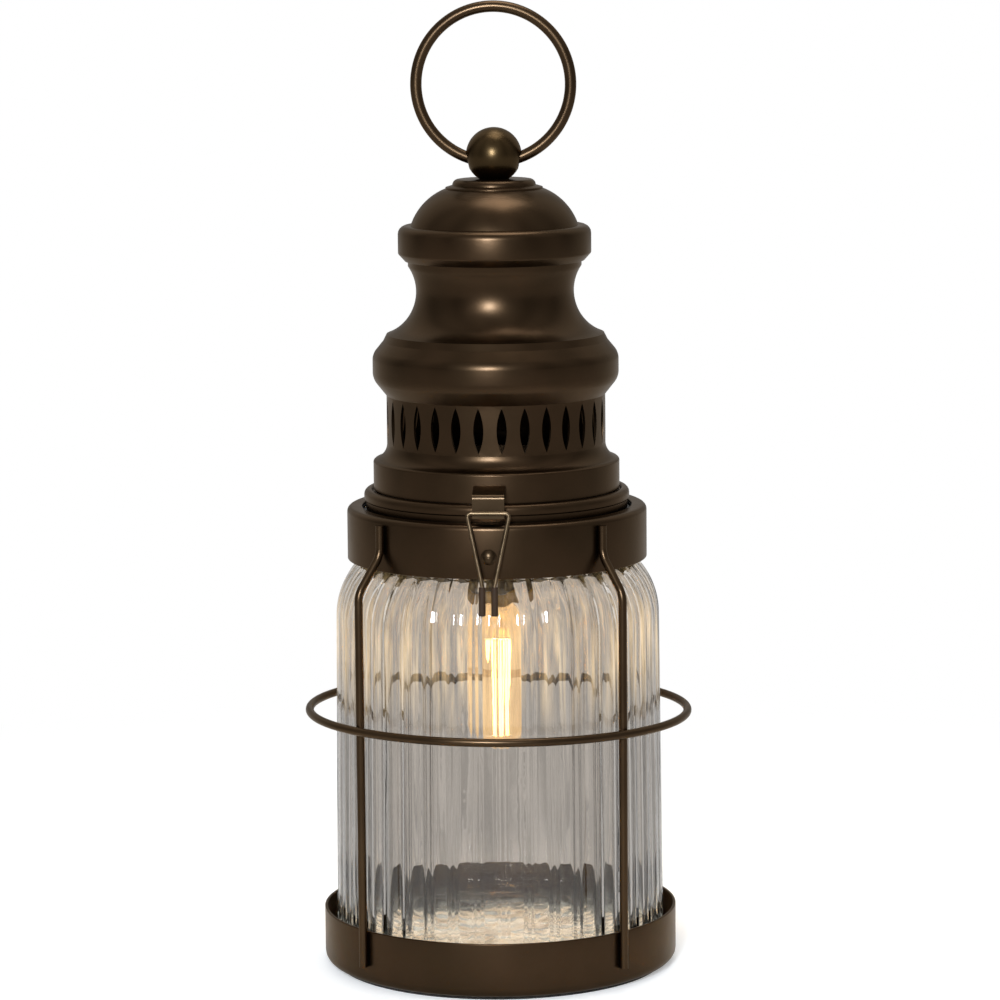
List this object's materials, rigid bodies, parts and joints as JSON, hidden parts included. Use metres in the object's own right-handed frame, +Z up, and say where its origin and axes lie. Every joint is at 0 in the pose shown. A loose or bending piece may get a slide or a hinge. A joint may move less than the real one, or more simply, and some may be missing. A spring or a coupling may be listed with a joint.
{
  "type": "lantern table lamp",
  "caption": "Battery lantern table lamp: fluted glass jar in a wire cage on a pressed pan, under a vented hinged chimney with a wire latch and a carry ring.",
  "frame": {"origin": "centre of the foot's underside, on the table", "axes": "+Z up along the lantern's axis, -Y towards the latch at the front, +X to the right seen from the latch side"},
  "size_m": [0.1126, 0.1126, 0.2799],
  "materials": {
    "foot_felt": "pressed felt",
    "bronze_sheet": "satin antique-bronze lacquer on pressed steel sheet",
    "bronze_wire": "satin antique-bronze lacquer on drawn wire",
    "bronze_small": "satin antique-bronze lacquer on small stampings",
    "bronze_turned": "satin antique-bronze lacquer on a turned ball",
    "seat_rubber": "matt soft rubber",
    "gasket_rubber": "matt rubber",
    "sleeve_rubber": "matt rubber sleeve",
    "jar_glass": "clear fluted soda glass with a faint grey tint",
    "spring_wire": "bronzed spring wire",
    "screw_steel": "plated steel",
    "case_plastic": "moulded, fine satin grain",
    "switch_plastic": "moulded, satin",
    "holder_plastic": "moulded, satin",
    "cell_jacket": null,
    "contact_metal": "plated spring steel",
    "holder_metal": "satin antique-bronze lacquer",
    "shell_brass": "bright drawn brass",
    "cap_metal": "plated bulb cap",
    "bulb_glass": "thin clear glass",
    "stem_glass": "pressed glass stem",
    "lead_metal": "plated wire",
    "filament_phosphor": "warm phosphor coat, glowing when lit"
  },
  "bodies": {
    "base": {"felt_foot": "foot_felt", "base_pan": "bronze_sheet", "jar_seat": "seat_rubber", "glass_jar": "jar_glass", "mouth_gasket": "gasket_rubber", "collar": "bronze_sheet", "upright_front_right": "bronze_wire", "upright_rear_right": "bronze_wire", "upright_rear_left": "bronze_wire", "upright_front_left": "bronze_wire", "guard_hoop": "bronze_wire", "latch_stud": "bronze_small", "collar_hinge_leaf": "bronze_small", "hinge_rivets": "bronze_small", "hinge_pin": "bronze_small", "battery_case": "case_plastic", "battery_cells": "cell_jacket", "contact_plates": "contact_metal", "contact_springs": "contact_metal", "lamp_holder": "holder_plastic", "holder_ring": "holder_metal", "holder_screws": "screw_steel", "holder_shell": "shell_brass", "bulb_cap": "cap_metal", "bulb_glass": "bulb_glass", "bulb_stem": "stem_glass", "filament_leads": "lead_metal", "led_filaments": "filament_phosphor"},
    "lid": {"lid_rim": "bronze_sheet", "lid_drum": "bronze_sheet", "vent_gallery": "bronze_sheet", "chimney_neck": "bronze_sheet", "chimney_cap": "bronze_sheet", "finial_cup": "bronze_sheet", "ball_finial": "bronze_turned", "finial_screw": "screw_steel", "latch_tab": "bronze_small", "lid_hinge_leaf": "bronze_small"},
    "carry_ring": {"carry_ring": "bronze_wire"},
    "latch_clip": {"latch_wire": "spring_wire", "latch_sleeves": "sleeve_rubber"},
    "battery_door": {"battery_door": "case_plastic"},
    "power_switch": {"power_switch": "switch_plastic"}
  },
  "joints": [
    {"name": "lid_hinge", "type": "hinge", "parent": "base", "child": "lid", "pos_m": [0, 0.04515, 0.137], "axis": [-1, 0, 0], "range_deg": [0, 100]},
    {"name": "carry_ring_swing", "type": "hinge", "parent": "lid", "child": "carry_ring", "pos_m": [0, 0, 0.23471], "axis": [1, 0, 0], "range_deg": [-125, 125]},
    {"name": "latch_swing", "type": "hinge", "parent": "lid", "child": "latch_clip", "pos_m": [0, -0.0442, 0.1385], "axis": [-1, 0, 0], "range_deg": [0, 150]},
    {"name": "battery_door_lift", "type": "slide", "parent": "base", "child": "battery_door", "axis": [0, 0, 1], "range_m": [0, 0.008]},
    {"name": "power_switch_slide", "type": "slide", "parent": "base", "child": "power_switch", "axis": [1, 0, 0], "range_m": [0, 0.003]}
  ]
}
